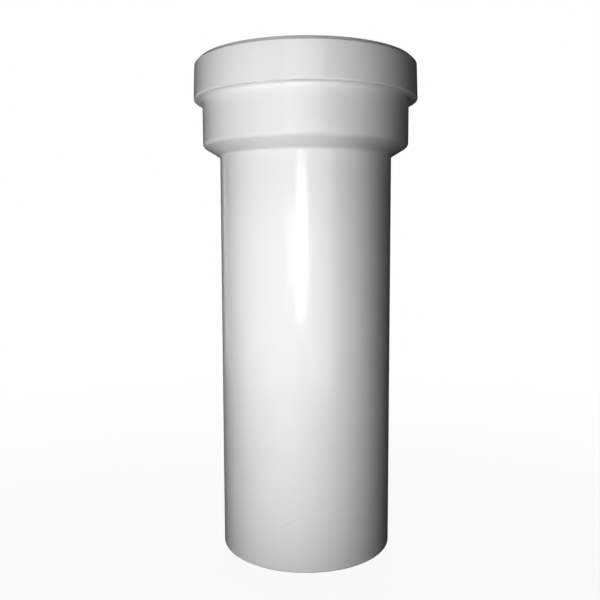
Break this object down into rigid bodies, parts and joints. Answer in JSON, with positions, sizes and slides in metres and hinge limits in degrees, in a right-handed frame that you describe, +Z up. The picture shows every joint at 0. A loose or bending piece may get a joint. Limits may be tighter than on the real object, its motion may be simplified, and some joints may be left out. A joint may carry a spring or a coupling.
{
  "type": "toilet pan connector",
  "caption": "Straight white pan connector: a plain spigot pipe with a sloping shoulder, a stepped collared socket and a rubber lip seal for a toilet's outlet.",
  "frame": {"origin": "centre of the spigot's end face, on which the connector stands", "axes": "+Z up the pipe's axis, from the spigot's end to the socket's mouth; the shape is round about Z"},
  "size_m": [0.1424, 0.1424, 0.312],
  "materials": {
    "white_plastic": "moulded, glossy",
    "seal_rubber": "moulded, satin"
  },
  "bodies": {
    "root": {"connector_body": "white_plastic", "lip_seal": "seal_rubber"}
  },
  "joints": []
}
